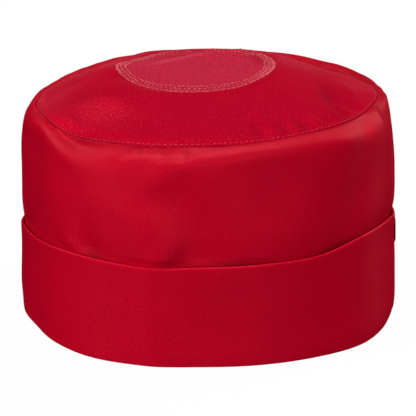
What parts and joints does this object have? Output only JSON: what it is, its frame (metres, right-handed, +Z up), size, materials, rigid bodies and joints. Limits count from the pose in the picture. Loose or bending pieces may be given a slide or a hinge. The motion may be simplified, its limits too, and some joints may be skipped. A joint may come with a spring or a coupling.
{
  "type": "chef hat",
  "caption": "Soft pillbox cook's cap in red twill with a ring-seamed round top, rolled shoulder and turned-up double cuff, worn on the head and resting flat on its rim.",
  "frame": {"origin": "on the floor under the middle of the cap's box, in the plane of the cuff's turn that the cap stands on", "axes": "+Z up through the crown, -Y to the front that the picture shows, +X to the side with the tab"},
  "size_m": [0.1956, 0.189, 0.1274],
  "materials": {
    "disc_cloth": "red twill with a paler, streaky face",
    "top_cloth": "red twill, soft sheen",
    "wall_cloth": "red twill, soft sheen",
    "cuff_cloth": "red twill, soft sheen, pressed fold",
    "label_tape": "dark woven tape, bare"
  },
  "bodies": {
    "root": {"crown_disc": "disc_cloth", "crown_top": "top_cloth", "side_wall": "wall_cloth", "cuff": "cuff_cloth", "label": "label_tape"}
  },
  "joints": []
}
